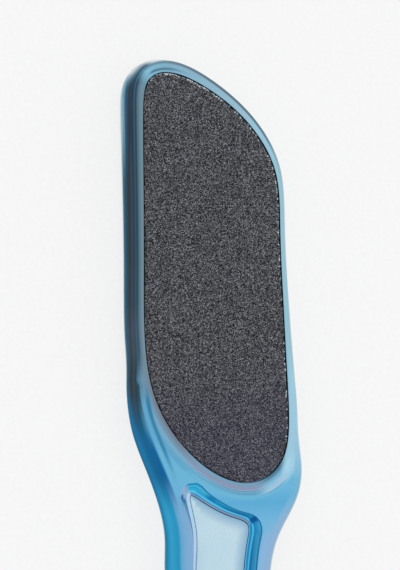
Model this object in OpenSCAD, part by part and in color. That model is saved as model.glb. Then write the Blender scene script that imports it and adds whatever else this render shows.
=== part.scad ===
// Two-sided foot file: a slim moulded handle with a leaf-shaped head that
// carries a coarse pad on the front face and a fine pad on the rear face.
// The handle lies along Y with the head towards +Y, and the coarse side is up.
// The origin is below the middle of the part, on the surface that it lies on.

/* [Head] */
// Width of the abrasive pads
pad_w = 40.6; // [36:0.2:46]
// Length of the abrasive pads
pad_l = 110.4; // [96:0.2:124]
// Rim from the edge of a pad to the widest line of the head
rim_w = 4.2; // [3.6:0.1:5.4]
// Thickness of the head at the upper end of the pads
tip_t = 11.6; // [10.8:0.1:13]
// Thickness of the head at the lower end of the pads
waist_t = 7.8; // [7.4:0.1:10]
// How far the side wall of the head bulges past its edges
side_crown = 1.1; // [0.4:0.1:1.6]
// Radius of the rim's outer edge
rim_edge_r = 0.7; // [0.3:0.1:1.2]

/* [Handle] */
// Length of the handle from the lower end of the pads
grip_l = 140; // [124:1:156]
// Width of the handle, which swells and narrows around it
grip_w = 30; // [27:0.5:34]
// Thickness of the handle
grip_t = 11.8; // [11.2:0.1:14]
// Width of the rounding along the sides of the handle
grip_edge_w = 4.2; // [3:0.1:5]
// Width of the rounding along the sides of the neck
neck_edge_w = 4; // [3:0.1:4.6]
// How far the neck lies below the head's face where the two meet
neck_step = 0.3; // [0.2:0.05:0.6]
// Depth of the dish between the beads of the neck
neck_dish = 0.9; // [0.6:0.1:1.2]

/* [Handle recess] */
// Rim of the handle beside the recess
grip_rim_w = 5.6; // [4.8:0.1:6.4]
// Depth of the recess, from the rim down to its ledge
recess_d = 3.2; // [2.6:0.1:3.6]
// How far the recess wall leans outwards
recess_draft = 1.5; // [0.8:0.1:2]
// Width of the ledge around the inlay
ledge_w = 0.9; // [0.6:0.1:1.4]
// Thickness of the inlay plate
inlay_t = 1; // [0.8:0.1:1.2]
// Thickness of the film that holds the inlay
inlay_film_t = 0.1; // [0.06:0.01:0.2]

/* [Hang hole] */
// Radius of the hang hole
hole_r = 2.75; // [2:0.25:3.5]
// Distance from the end of the handle to the middle of the hole
hole_from_end = 12; // [9.5:0.5:14]
// Chamfer at both mouths of the hole
hole_chamfer = 0.6; // [0.3:0.1:0.9]

/* [Abrasive pads] */
// Depth of the seat that a pad lies in
seat_d = 1.3; // [1.2:0.05:1.7]
// Thickness of the adhesive film under a pad
adhesive_t = 0.12; // [0.08:0.02:0.2]
// Thickness of the backing sheet
backing_t = 0.5; // [0.4:0.05:0.6]
// Thickness of the coarse grit coat
coarse_grit_t = 0.45; // [0.3:0.05:0.5]
// Thickness of the fine grit coat
fine_grit_t = 0.3; // [0.2:0.05:0.4]
// Gap around a pad in its seat
pad_gap = 0.35; // [0.2:0.05:0.6]

/* [Housing] */
// Wall between the widest line of the head and its hollow
head_wall = 3.4; // [3.2:0.1:4.4]
// Thickness of the wall under a pad seat
roof_t = 1.3; // [1:0.1:1.6]
// Thickness of the ribs inside the head
rib_t = 1.2; // [0.8:0.1:1.6]
// Ribs across the head
cross_ribs = 7; // [3:1:9]
// Ribs along the head
long_ribs = 2; // [1:1:3]
// Width of the tongue that runs around the seam of the head
tongue_w = 0.8; // [0.6:0.1:1]
// Height of the tongue
tongue_h = 0.9; // [0.6:0.1:1.2]
// Wall outside the tongue
tongue_wall = 1.3; // [1:0.1:1.5]
// Radius of the locating pins
pin_r = 1.3; // [1:0.1:1.6]
// Length of the locating pins
pin_l = 1.6; // [1.2:0.1:1.8]
// Wall around a pin socket
boss_wall = 1.5; // [1.2:0.1:2]
// Clearance around the tongue, the pins and the inlays
fit_gap = 0.12; // [0.08:0.02:0.2]

/* [Hidden] */

// How far a cutting shape runs past the face that it cuts
overrun = 1;
// Fineness of round pins and holes
$fn = 64;
// Steps on each stretch of a smooth outline
steps = 5;

// Outline of a pad from the tip clockwise. Each row holds the place across and along,
// as shares of half the pad's width and length, and the share of the rim beside it.
pad_shares = [
    [-0.67, 1.01, 1.15], [-0.34, 0.998, 1.12], [0.10, 0.915, 1.0], [0.545, 0.787, 0.93],
    [0.88, 0.615, 0.85], [0.995, 0.45, 0.7], [0.96, 0.20, 0.72], [0.975, -0.10, 0.74],
    [0.985, -0.42, 0.85], [1.015, -0.78, 1.0], [0.865, -0.93, 1.1], [0.50, -1.01, 1.05],
    [0.08, -0.985, 0.95], [-0.335, -0.885, 0.85], [-0.715, -0.72, 0.85], [-0.94, -0.525, 0.95],
    [-0.995, -0.28, 0.98], [-0.955, 0.05, 0.94], [-0.92, 0.48, 0.98], [-0.9, 0.82, 1.02],
    [-0.865, 0.96, 1.12]
];

// Neck outline: places across and along, as shares of half the pad's width and length.
neck_tip_share = [-0.15, -0.12];
neck_right_shares = [
    [0.34, -0.17], [0.73, -0.28], [1.0, -0.49], [1.13, -0.71], [1.26, -0.89], [1.19, -1.08]
];
neck_left_shares = [
    [-0.82, -1.06], [-0.985, -0.9], [-1.15, -0.745], [-1.2, -0.57], [-1.18, -0.38], [-0.9, -0.18]
];

// Handle outline: places across as shares of half its width, and along as shares
// of its length from the lower end of the pads.
grip_right_shares = [
    [1.18, -0.092], [0.965, -0.145], [0.885, -0.217], [0.91, -0.33], [0.98, -0.474],
    [1.05, -0.617], [1.06, -0.745], [0.97, -0.88], [0.6, -1.01]
];
grip_left_shares = [
    [-0.6, -1.01], [-0.97, -0.88], [-1.06, -0.745], [-1.05, -0.617], [-0.99, -0.474],
    [-0.965, -0.33], [-1.0, -0.217], [-1.02, -0.145], [-0.96, -0.092]
];

// Upper edge of the inlay: places as for the neck, then the share of the wall's lean.
inlay_top_shares = [
    [-0.404, -1.449, 0.65], [-0.347, -1.304, 0.75], [-0.35, -1.205, 0.9], [-0.425, -1.08, 0.95],
    [-0.43, -1.038, 2.2], [-0.325, -1.066, 1.15], [-0.10, -1.12, 0.95], [0.14, -1.162, 0.75],
    [0.31, -1.178, 0.6], [0.415, -1.205, 1.5], [0.385, -1.26, 1.1], [0.32, -1.36, 1.0]
];
// Lean of the recess walls beside the right and left rims of the handle.
right_lean_share = 1.0;
left_lean_share = 0.65;
// Lower end of the inlay: across as shares of half the handle's width.
inlay_end_shares = [[0.42, -0.8], [0.22, -0.83], [-0.22, -0.83], [-0.42, -0.8]];

// Head pins as shares of half the pad's width and length, and handle pins as shares
// of half the handle's width and of its length, one on each side.
head_pin_shares = [[-0.5, 0.72], [0.58, 0.4], [-0.58, 0.0], [0.6, -0.1], [-0.4, -0.45], [0.6, -0.6]];
grip_pin_shares = [[0.7, -0.25], [0.74, -0.5], [0.8, -0.72]];

// The neck starts to rise above the lower end of the pads and is level with the handle
// below it, as shares of half the pad's length.
rise_start_share = 0.25;
rise_end_share = 0.5;
// The dish in the neck fades out above the handle recess.
dish_end_share = 0.28;
// Width of the bead's inner slope, as a share of the rounding beside it.
bead_slope_share = 0.3;

tip_face = tip_t / 2;
waist_face = waist_t / 2;
grip_face = grip_t / 2;
mid_face = (tip_face + waist_face) / 2;
face_slope = (tip_face - waist_face) / pad_l;
face_tilt = atan(face_slope);
pad_end_y = -pad_l / 2;
ledge_z = grip_face - recess_d;
pocket_z = ledge_z - inlay_t - inlay_film_t;
seat_roof_d = seat_d + roof_t;
lie_z = max(tip_face, grip_face);

// One point of a smooth closed curve, from its four nearest control rows.
function blend_rows(a, b, c, d, t) =
    (pow(1 - t, 3) * a + (3 * pow(t, 3) - 6 * t * t + 4) * b
    + (-3 * pow(t, 3) + 3 * t * t + 3 * t + 1) * c + pow(t, 3) * d) / 6;

// Smooth closed curve through a list of control rows.
function smooth_loop(rows) = let (n = len(rows)) [
    for (i = [0 : n - 1], j = [0 : steps - 1])
        blend_rows(rows[(i + n - 1) % n], rows[i], rows[(i + 1) % n], rows[(i + 2) % n], j / steps)
];

// Outward direction at point i of a clockwise loop.
function outward(loop, i) = let (
    n = len(loop),
    run = [loop[(i + 1) % n].x - loop[(i + n - 1) % n].x, loop[(i + 1) % n].y - loop[(i + n - 1) % n].y],
    size = norm(run)
) [-run.y / size, run.x / size];

// A loop moved outwards, by a distance for each of its points.
function spread_loop(loop, by) = [
    for (i = [0 : len(loop) - 1]) [loop[i].x, loop[i].y] + by[i] * outward(loop, i)
];
function grow_loop(loop, by) = spread_loop(loop, [for (p = loop) by]);

function ease(t) = let (u = min(1, max(0, t))) u * u * (3 - 2 * u);

// Pads and the head around them
pad_rows = [for (s = pad_shares) [s.x * pad_w / 2, s.y * pad_l / 2, s.z]];
pad_curve = smooth_loop(pad_rows);
pad_loop = grow_loop(pad_curve, 0);
seat_loop = grow_loop(pad_curve, pad_gap);
head_loop = spread_loop(pad_curve, [for (p = pad_curve) p.z * rim_w]);
function head_face(y) = mid_face + y * face_slope;

// Neck and handle
function at_head(s) = [s.x * pad_w / 2, s.y * pad_l / 2];
function at_grip(s) = [s.x * grip_w / 2, pad_end_y + s.y * grip_l];
grip_rows = concat(
    [at_head(neck_tip_share)],
    [for (s = neck_right_shares) at_head(s)], [for (s = grip_right_shares) at_grip(s)],
    [for (s = grip_left_shares) at_grip(s)], [for (s = neck_left_shares) at_head(s)]
);
grip_loop = grow_loop(smooth_loop(grip_rows), 0);
rise_start_y = pad_end_y + rise_start_share * pad_l / 2;
rise_end_y = pad_end_y - rise_end_share * pad_l / 2;
dish_end_y = pad_end_y - dish_end_share * pad_l / 2;
function grip_rise(y) = ease((rise_start_y - y) / (rise_start_y - rise_end_y));
function neck_face(y) = waist_face - neck_step + (grip_face - waist_face + neck_step) * grip_rise(y);
function edge_w(y) = neck_edge_w + (grip_edge_w - neck_edge_w) * grip_rise(y);
function dish_d(y) = neck_dish * (1 - ease((pad_end_y - y) / (pad_end_y - dish_end_y)));

// Inlay, the ledge around it and the mouth of the recess
function inlay_in(lean_share) = grip_rim_w + lean_share * recess_draft + ledge_w;
function right_inlay(s) = at_grip(s) - [inlay_in(right_lean_share), 0];
function left_inlay(s) = at_grip(s) + [inlay_in(left_lean_share), 0];
inlay_rows = concat(
    [for (s = inlay_top_shares) [s.x * pad_w / 2, s.y * pad_l / 2, s.z]],
    [for (i = [2 : 6]) let (p = right_inlay(grip_right_shares[i])) [p.x, p.y, right_lean_share]],
    [for (s = inlay_end_shares) let (p = at_grip(s)) [p.x, p.y, 1]],
    [for (i = [2 : 6]) let (p = left_inlay(grip_left_shares[i])) [p.x, p.y, left_lean_share]]
);
inlay_curve = smooth_loop(inlay_rows);
inlay_loop = grow_loop(inlay_curve, 0);
ledge_loop = grow_loop(inlay_curve, ledge_w);
mouth_loop = spread_loop(inlay_curve, [for (p = inlay_curve) ledge_w + p.z * recess_draft]);

// Middle of the part, which the row frame's origin lies under
all_x = [for (p = concat(head_loop, grip_loop)) p.x];
all_y = [for (p = concat(head_loop, grip_loop)) p.y];
centre_x = (min(all_x) + max(all_x)) / 2;
centre_y = (min(all_y) + max(all_y)) / 2;
hole_y = min(all_y) + hole_from_end;

// Closed skin over loops of equal length, stacked from bottom to top. Both ends are
// closed by rungs from one side of the loop to the other.
module skin(loops) {
    n = len(loops[0]);
    last = len(loops) - 1;
    last_rung = floor(n / 2) - 1;
    walls = [
        for (k = [0 : last - 1], i = [0 : n - 1]) let (j = (i + 1) % n)
            each [[k * n + i, k * n + j, (k + 1) * n + i], [k * n + j, (k + 1) * n + j, (k + 1) * n + i]]
    ];
    // Point n - i faces point i across the loop
    rungs = [
        for (i = [0 : last_rung]) let (a = i, b = i + 1, c = (n - i) % n, d = n - i - 1)
            each concat(a == c ? [] : [[a, b, c]], b == d ? [] : [[b, d, c]])
    ];
    bottom = [for (f = rungs) [f.z, f.y, f.x]];
    top = [for (f = rungs) [last * n + f.x, last * n + f.y, last * n + f.z]];
    polyhedron(points = [for (l = loops) each l], faces = concat(walls, bottom, top), convexity = 6);
}

// Front half of the head: a crowned wall, a rounded edge and a face that falls
// from the tip to the neck.
wall_shares = [0, 0.35, 0.7, 1];
edge_angles = [30, 60, 90];
function head_ring(inset, lift) = [
    for (p = grow_loop(head_loop, -inset)) [p.x, p.y, lift(head_face(p.y))]
];
module head_half() {
    skin(concat(
        [for (s = wall_shares) head_ring(side_crown * s * s, function (h) (h - rim_edge_r) * s)],
        [for (a = edge_angles) head_ring(
            side_crown + rim_edge_r * (1 - cos(a)), function (h) h - rim_edge_r * (1 - sin(a))
        )]
    ));
}

// Front half of the neck and handle: elliptical sides, and a bead that runs down
// both sides of the neck around a shallow dish.
side_angles = [0, 18, 36, 54, 72, 90];
bead_shares = [0.5, 1];
function grip_ring(width_share, lift_share, dish_share) = let (
    in_loop = spread_loop(grip_loop, [for (p = grip_loop) -width_share * edge_w(p.y)])
) [for (i = [0 : len(in_loop) - 1]) let (y = in_loop[i].y)
    [in_loop[i].x, y, lift_share * neck_face(y) - dish_share * dish_d(y)]];
module grip_half() {
    skin(concat(
        [for (a = side_angles) grip_ring(1 - cos(a), sin(a), 0)],
        [for (s = bead_shares) grip_ring(1 + s * bead_slope_share, 1, s)]
    ));
}

// Puts a shape that is drawn flat onto the front face of the head, at a depth below it.
module on_head_face(depth) {
    translate([0, 0, mid_face])
        rotate([face_tilt, 0, 0])
            translate([0, 0, -depth]) children();
}

module pad_layer(depth, thick) {
    on_head_face(depth) linear_extrude(thick) polygon(pad_loop);
}

module pad_seat() {
    on_head_face(seat_d) linear_extrude(seat_d + overrun) polygon(seat_loop);
}

// Recess in the handle: the inlay's pocket, the ledge around it and leaning walls.
function at_height(loop, z) = [for (p = loop) [p.x, p.y, z]];
module handle_recess() {
    skin([
        at_height(inlay_loop, pocket_z), at_height(inlay_loop, ledge_z),
        at_height(ledge_loop, ledge_z), at_height(mouth_loop, grip_face),
        at_height(mouth_loop, grip_face + overrun)
    ]);
}

module hang_hole() {
    translate([0, hole_y, -overrun]) cylinder(r = hole_r, h = grip_face + 2 * overrun);
    translate([0, hole_y, grip_face - hole_chamfer])
        cylinder(r1 = hole_r, r2 = hole_r + hole_chamfer + overrun, h = hole_chamfer + overrun);
}

// Places of the locating pins, in the head and along both rims of the handle.
pin_places = concat(
    [for (s = head_pin_shares) at_head(s)],
    [for (s = grip_pin_shares, side = [-1, 1]) at_grip([side * s.x, s.y])]
);

// Hollow under a pad seat, crossed by ribs and by the bosses around the pins.
hollow_loop = grow_loop(head_loop, -head_wall);
boss_r = pin_r + fit_gap + boss_wall;
module head_hollow() {
    difference() {
        on_head_face(seat_roof_d + tip_t) linear_extrude(tip_t) polygon(hollow_loop);
        for (i = [1 : cross_ribs])
            translate([-pad_w, pad_end_y + i * pad_l / (cross_ribs + 1) - rib_t / 2, -overrun])
                cube([2 * pad_w, rib_t, tip_t]);
        for (i = [1 : long_ribs])
            translate([-pad_w / 2 + i * pad_w / (long_ribs + 1) - rib_t / 2, -pad_l, -overrun])
                cube([rib_t, 2 * pad_l, tip_t]);
        for (s = head_pin_shares)
            translate([at_head(s).x, at_head(s).y, -overrun]) cylinder(r = boss_r, h = tip_t);
    }
}

// Ring around the head's seam, which is a groove in one half and a tongue on the other.
module seam_ring(gap, height) {
    linear_extrude(height) difference() {
        polygon(grow_loop(head_loop, -tongue_wall + gap));
        polygon(grow_loop(head_loop, -tongue_wall - tongue_w - gap));
    }
}

// One half of the housing, before the details of its seam.
module shell_half() {
    difference() {
        union() {
            head_half();
            grip_half();
        }
        pad_seat();
        handle_recess();
        head_hollow();
        hang_hole();
    }
}

// Turns a shape made for the front into its twin at the rear.
module at_rear() {
    mirror([0, 0, 1]) children();
}

module in_place() {
    translate([-centre_x, -centre_y, lie_z]) children();
}

module front_shell() {
    color("#7ab6d6") in_place() difference() {
        shell_half();
        translate([0, 0, -fit_gap]) seam_ring(fit_gap, tongue_h + 2 * fit_gap);
        for (p = pin_places)
            translate([p.x, p.y, -fit_gap]) cylinder(r = pin_r + fit_gap, h = pin_l + 2 * fit_gap);
    }
}

module rear_shell() {
    color("#6aa8cc") in_place() union() {
        at_rear() shell_half();
        translate([0, 0, -fit_gap]) seam_ring(0, tongue_h + fit_gap);
        for (p = pin_places)
            translate([p.x, p.y, -fit_gap]) cylinder(r = pin_r, h = pin_l + fit_gap);
    }
}

module coarse_adhesive() {
    color("#d8d2c0") in_place() pad_layer(seat_d, adhesive_t);
}

module coarse_backing() {
    color("#2c2c30") in_place() pad_layer(seat_d - adhesive_t, backing_t);
}

module coarse_grit_coat() {
    color("#4a4a4e") in_place() pad_layer(seat_d - adhesive_t - backing_t, coarse_grit_t);
}

module fine_adhesive() {
    color("#d8d2c0") in_place() at_rear() pad_layer(seat_d, adhesive_t);
}

module fine_backing() {
    color("#2c2c30") in_place() at_rear() pad_layer(seat_d - adhesive_t, backing_t);
}

module fine_grit_coat() {
    color("#5e5e62") in_place() at_rear() pad_layer(seat_d - adhesive_t - backing_t, fine_grit_t);
}

module inlay_plate() {
    translate([0, 0, pocket_z + inlay_film_t])
        linear_extrude(inlay_t) polygon(grow_loop(inlay_curve, -fit_gap));
}

module inlay_film() {
    translate([0, 0, pocket_z])
        linear_extrude(inlay_film_t) polygon(grow_loop(inlay_curve, -fit_gap));
}

module front_inlay() {
    color("#b7d0de") in_place() inlay_plate();
}

module front_inlay_film() {
    color("#e6e2d4") in_place() inlay_film();
}

module rear_inlay() {
    color("#b7d0de") in_place() at_rear() inlay_plate();
}

module rear_inlay_film() {
    color("#e6e2d4") in_place() at_rear() inlay_film();
}

front_shell();
rear_shell();
coarse_grit_coat();
coarse_backing();
coarse_adhesive();
fine_grit_coat();
fine_backing();
fine_adhesive();
front_inlay();
front_inlay_film();
rear_inlay();
rear_inlay_film();
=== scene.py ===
import math
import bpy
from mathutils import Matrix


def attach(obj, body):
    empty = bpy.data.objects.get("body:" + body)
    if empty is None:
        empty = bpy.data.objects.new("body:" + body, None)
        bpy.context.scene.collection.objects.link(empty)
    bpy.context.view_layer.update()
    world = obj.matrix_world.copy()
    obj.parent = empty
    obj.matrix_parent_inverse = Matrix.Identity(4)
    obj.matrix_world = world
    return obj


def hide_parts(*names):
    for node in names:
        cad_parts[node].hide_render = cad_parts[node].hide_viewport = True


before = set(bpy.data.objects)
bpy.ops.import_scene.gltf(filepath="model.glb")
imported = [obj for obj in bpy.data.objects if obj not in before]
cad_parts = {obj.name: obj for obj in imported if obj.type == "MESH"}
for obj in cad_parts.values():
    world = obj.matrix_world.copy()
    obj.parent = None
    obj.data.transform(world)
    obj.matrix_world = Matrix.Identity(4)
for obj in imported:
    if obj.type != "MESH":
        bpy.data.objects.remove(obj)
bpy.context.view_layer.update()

from types import SimpleNamespace

import bpy
import numpy as np
from mathutils import Matrix, Vector
from mathutils.geometry import delaunay_2d_cdt

# Sizes are in millimetres, measured from the middle of the pads and from the plane
# where the two halves of the housing meet.
MM = 0.001

# Head
PAD_W = 40.6
PAD_L = 110.4
RIM_W = 4.2
TIP_T = 11.6
WAIST_T = 7.8
SIDE_CROWN = 1.1
RIM_EDGE_R = 0.7

# Neck and handle
GRIP_L = 140.0
GRIP_W = 30.0
GRIP_T = 11.8
GRIP_EDGE_W = 4.2
NECK_EDGE_W = 4.0
NECK_STEP = 0.3
NECK_DISH = 0.9

# Handle recess
GRIP_RIM_W = 5.6
RECESS_D = 3.2
RECESS_DRAFT = 1.5
LEDGE_W = 0.9
INLAY_T = 1.0
INLAY_FILM_T = 0.1
INLAY_EDGE_R = 0.3

# Hang hole
HOLE_R = 2.75
HOLE_FROM_END = 12.0
HOLE_ROUND = 0.6

# Pads, from the top of the grit down
SEAT_D = 1.3
ADHESIVE_T = 0.12
BACKING_T = 0.5
COARSE_GRIT_T = 0.45
FINE_GRIT_T = 0.3
PAD_GAP = 0.35
SEAT_EDGE_R = 0.22

# Small gaps and edges
FIT_GAP = 0.12
SEAM_BEVEL = 0.1
WALL_DRAFT = 0.04
SUPPORT = 0.06

# Passes that round the corners of the recess's crest
CREST_SMOOTHING = 24

# Outline of a pad from the tip clockwise. Each row holds the place across and along,
# as shares of half the pad's width and length, and the share of the rim beside it.
PAD_SHARES = [
    [-0.67, 1.01, 1.15], [-0.34, 0.998, 1.12], [0.10, 0.915, 1.0], [0.545, 0.787, 0.93],
    [0.88, 0.615, 0.85], [0.995, 0.45, 0.7], [0.96, 0.20, 0.72], [0.975, -0.10, 0.74],
    [0.985, -0.42, 0.85], [1.015, -0.78, 1.0], [0.865, -0.93, 1.1], [0.50, -1.01, 1.05],
    [0.08, -0.985, 0.95], [-0.335, -0.885, 0.85], [-0.715, -0.72, 0.85], [-0.94, -0.525, 0.95],
    [-0.995, -0.28, 0.98], [-0.955, 0.05, 0.94], [-0.92, 0.48, 0.98], [-0.9, 0.82, 1.02],
    [-0.865, 0.96, 1.12],
]

# Neck outline from its tip clockwise: places across and along, as shares of half the pad's
# width and length.
NECK_RIGHT_SHARES = [
    [-0.15, -0.12], [0.34, -0.17], [0.73, -0.28], [1.0, -0.49], [1.13, -0.71], [1.26, -0.89],
    [1.19, -1.08],
]
NECK_LEFT_SHARES = [
    [-0.82, -1.06], [-0.985, -0.9], [-1.15, -0.745], [-1.2, -0.57], [-1.18, -0.38], [-0.9, -0.18],
]

# Handle outline: places across as shares of half its width, and along as shares
# of its length from the lower end of the pads.
GRIP_RIGHT_SHARES = [
    [1.18, -0.092], [0.965, -0.145], [0.885, -0.217], [0.91, -0.33], [0.98, -0.474],
    [1.05, -0.617], [1.06, -0.745], [0.97, -0.88], [0.6, -1.01],
]
GRIP_LEFT_SHARES = [
    [-0.6, -1.01], [-0.97, -0.88], [-1.06, -0.745], [-1.05, -0.617], [-0.99, -0.474],
    [-0.965, -0.33], [-1.0, -0.217], [-1.02, -0.145], [-0.96, -0.092],
]

# Upper edge of the inlay: places as for the neck, then the share of the wall's lean.
INLAY_TOP_SHARES = [
    [-0.404, -1.449, 0.65], [-0.347, -1.304, 0.75], [-0.35, -1.205, 0.9], [-0.425, -1.08, 0.95],
    [-0.43, -1.038, 2.2], [-0.325, -1.066, 1.15], [-0.10, -1.12, 0.95], [0.14, -1.162, 0.75],
    [0.31, -1.178, 0.6], [0.415, -1.205, 1.5], [0.385, -1.26, 1.1], [0.32, -1.36, 1.0],
]
# Lean of the recess walls beside the right and left rims of the handle
RIGHT_LEAN_SHARE = 1.0
LEFT_LEAN_SHARE = 0.65
INLAY_END_SHARES = [[0.42, -0.8], [0.22, -0.83], [-0.22, -0.83], [-0.42, -0.8]]

# The neck's rise to the handle and the end of its dish, as shares of half the pad's length
RISE_START_SHARE = 0.25
RISE_END_SHARE = 0.5
DISH_END_SHARE = 0.28
BEAD_SLOPE_SHARE = 0.5

MID_FACE = (TIP_T + WAIST_T) / 4
FACE_SLOPE = (TIP_T - WAIST_T) / 2 / PAD_L
FACE_TILT = math.atan(FACE_SLOPE)
WAIST_FACE = WAIST_T / 2
GRIP_FACE = GRIP_T / 2
PAD_END = -PAD_L / 2
LEDGE_Z = GRIP_FACE - RECESS_D
POCKET_Z = LEDGE_Z - INLAY_T - INLAY_FILM_T
LIE_Z = max(TIP_T, GRIP_T) / 2
CAD_STEPS = 5
FINE_STEPS = 24


def smooth_loop(rows, steps):
    """Smooth closed curve through a list of control rows."""
    rows = np.asarray(rows, float)
    a, c, d = np.roll(rows, 1, 0), np.roll(rows, -1, 0), np.roll(rows, -2, 0)
    t = (np.arange(steps) / steps)[None, :, None]
    a, b, c, d = (r[:, None, :] for r in (a, rows, c, d))
    curve = (1 - t) ** 3 * a + (3 * t**3 - 6 * t * t + 4) * b
    curve = curve + (-3 * t**3 + 3 * t * t + 3 * t + 1) * c + t**3 * d
    return (curve / 6).reshape(-1, rows.shape[1])


def outward(loop):
    """Outward direction at each point of a clockwise loop."""
    run = np.roll(loop, -1, 0) - np.roll(loop, 1, 0)
    run = run[:, :2] / np.linalg.norm(run[:, :2], axis=1, keepdims=True)
    return np.stack([-run[:, 1], run[:, 0]], 1)


def grow(loop, by):
    """A loop moved outwards by one distance, or by one for each of its points."""
    by = np.broadcast_to(np.asarray(by, float), len(loop))
    return loop[:, :2] + by[:, None] * outward(loop)


def arc_places(line):
    """Distance along a closed line at each of its points, and at the first one again."""
    gaps = np.linalg.norm(np.roll(line, -1, 0)[:, :2] - line[:, :2], axis=1)
    return np.concatenate([[0], np.cumsum(gaps)])


def respaced(loop, spacing):
    """The loop with evenly spaced points. Further columns are carried along."""
    places = arc_places(loop)
    count = int(round(places[-1] / spacing))
    wanted = np.arange(count) * places[-1] / count
    closed = np.vstack([loop, loop[:1]])
    return np.stack([np.interp(wanted, places, closed[:, c]) for c in range(loop.shape[1])], 1)


# Points handled at once
BLOCK = 4000


def inside_by(points, loop):
    """Distance from each point to the loop, positive inside and negative outside."""
    a, b = loop[:, :2], np.roll(loop[:, :2], -1, 0)
    run = b - a
    size = (run**2).sum(1)
    found = np.empty(len(points))
    for start in range(0, len(points), BLOCK):
        p = points[start : start + BLOCK, None, :2]
        t = np.clip(((p - a) * run).sum(2) / size, 0, 1)
        near = np.sqrt((((p - a) - t[..., None] * run) ** 2).sum(2).min(1))
        straddles = (a[:, 1] > p[..., 1]) != (b[:, 1] > p[..., 1])
        rise = np.where(run[:, 1] == 0, 1, run[:, 1])
        crossing = a[:, 0] + (p[..., 1] - a[:, 1]) * run[:, 0] / rise
        odd = (straddles & (p[..., 0] < crossing)).sum(1) % 2 == 1
        found[start : start + BLOCK] = np.where(odd, near, -near)
    return found


def outward_near(points, loop):
    """Outward direction of the loop at its point nearest to each of the points."""
    nearest = np.empty(len(points), int)
    for start in range(0, len(points), BLOCK):
        p = points[start : start + BLOCK, None, :2]
        nearest[start : start + BLOCK] = ((p - loop[:, :2]) ** 2).sum(2).argmin(1)
    return outward(loop)[nearest]


def ease(t):
    t = np.clip(t, 0, 1)
    return t * t * (3 - 2 * t)


def eased_over(value, span):
    return ease((value - span[0]) / (span[1] - span[0]))


def head_face(y):
    return MID_FACE + y * FACE_SLOPE


def grip_rise(y):
    start = PAD_END + RISE_START_SHARE * PAD_L / 2
    end = PAD_END - RISE_END_SHARE * PAD_L / 2
    return ease((start - y) / (start - end))


def at_head(share):
    return [share[0] * PAD_W / 2, share[1] * PAD_L / 2]


def at_grip(share):
    return [share[0] * GRIP_W / 2, PAD_END + share[1] * GRIP_L]


pad_rows = [[*at_head(s), s[2]] for s in PAD_SHARES]
grip_rows = (
    [at_head(s) for s in NECK_RIGHT_SHARES]
    + [at_grip(s) for s in GRIP_RIGHT_SHARES + GRIP_LEFT_SHARES]
    + [at_head(s) for s in NECK_LEFT_SHARES]
)


def beside_rim(share, lean, toward):
    """A row of the inlay's edge, inside the rim, the leaning wall and the ledge."""
    x, y = at_grip(share)
    return [x + toward * (GRIP_RIM_W + lean * RECESS_DRAFT + LEDGE_W), y, lean]


inlay_rows = (
    [[*at_head(s), s[2]] for s in INLAY_TOP_SHARES]
    + [beside_rim(s, RIGHT_LEAN_SHARE, -1) for s in GRIP_RIGHT_SHARES[2:7]]
    + [[*at_grip(s), 1] for s in INLAY_END_SHARES]
    + [beside_rim(s, LEFT_LEAN_SHARE, 1) for s in GRIP_LEFT_SHARES[2:7]]
)


def head_outline(steps):
    curve = smooth_loop(pad_rows, steps)
    return grow(curve, curve[:, 2] * RIM_W)


# The middle of the part lies at the row frame's origin
coarse_outline = np.vstack([head_outline(CAD_STEPS), smooth_loop(grip_rows, CAD_STEPS)])
centre = (coarse_outline.min(0) + coarse_outline.max(0)) / 2
hole_at = np.array([0.0, coarse_outline[:, 1].min() + HOLE_FROM_END])

pad_curve = smooth_loop(pad_rows, FINE_STEPS)
pad_loop = pad_curve[:, :2]
seat_loop = grow(pad_loop, PAD_GAP)
head_loop = head_outline(FINE_STEPS)
grip_loop = smooth_loop(grip_rows, FINE_STEPS)
inlay_curve = smooth_loop(inlay_rows, FINE_STEPS)
inlay_loop = inlay_curve[:, :2]
ledge_loop = grow(inlay_loop, LEDGE_W)
mouth_loop = grow(inlay_curve, LEDGE_W + inlay_curve[:, 2] * RECESS_DRAFT)
for _ in range(CREST_SMOOTHING):
    mouth_loop = (np.roll(mouth_loop, 1, 0) + 2 * mouth_loop + np.roll(mouth_loop, -1, 0)) / 4


def placed(points, rear=False):
    """Points of the construction in the row frame, in metres. The rear is the front's mirror."""
    points = np.asarray(points, float).copy()
    if rear:
        points[:, 2] *= -1
    points[:, :2] -= centre
    points[:, 2] += LIE_Z
    return points * MM


def on_head_face(plan, depth):
    """Plan points laid on the tilted face of the head, at a depth below it."""
    y = plan[:, 1] * math.cos(FACE_TILT) + depth * math.sin(FACE_TILT)
    z = MID_FACE + plan[:, 1] * math.sin(FACE_TILT) - depth * math.cos(FACE_TILT)
    return np.stack([plan[:, 0], y, z], 1)


def filled(loops, lines=(), points=()):
    """Triangles over the plan inside the first loop, with every loop and line kept as an edge.
    Returns the places and, for each, its number in the list of loop points or -1."""
    places, edges, start = [], [], 0
    for line, gap in [(loop, 0) for loop in loops] + [(line, 1) for line in lines]:
        n = len(line)
        places.append(line[:, :2])
        edges += [(start + i, start + (i + 1) % n) for i in range(n - gap)]
        start += n
    if len(points):
        places.append(points[:, :2])
    given = [Vector(p) for p in np.vstack(places)]
    found, _, faces, origins, _, _ = delaunay_2d_cdt(given, edges, [], 1, 1e-6)
    found = np.array([tuple(p) for p in found])
    return found, np.array(faces), [o[0] if o else -1 for o in origins]


def ring_quads(n, rings):
    """Quads between rings of n points each, from one ring to the next."""
    return [
        (k * n + i, k * n + (i + 1) % n, (k + 1) * n + (i + 1) % n, (k + 1) * n + i)
        for k in range(rings - 1) for i in range(n)
    ]


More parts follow.
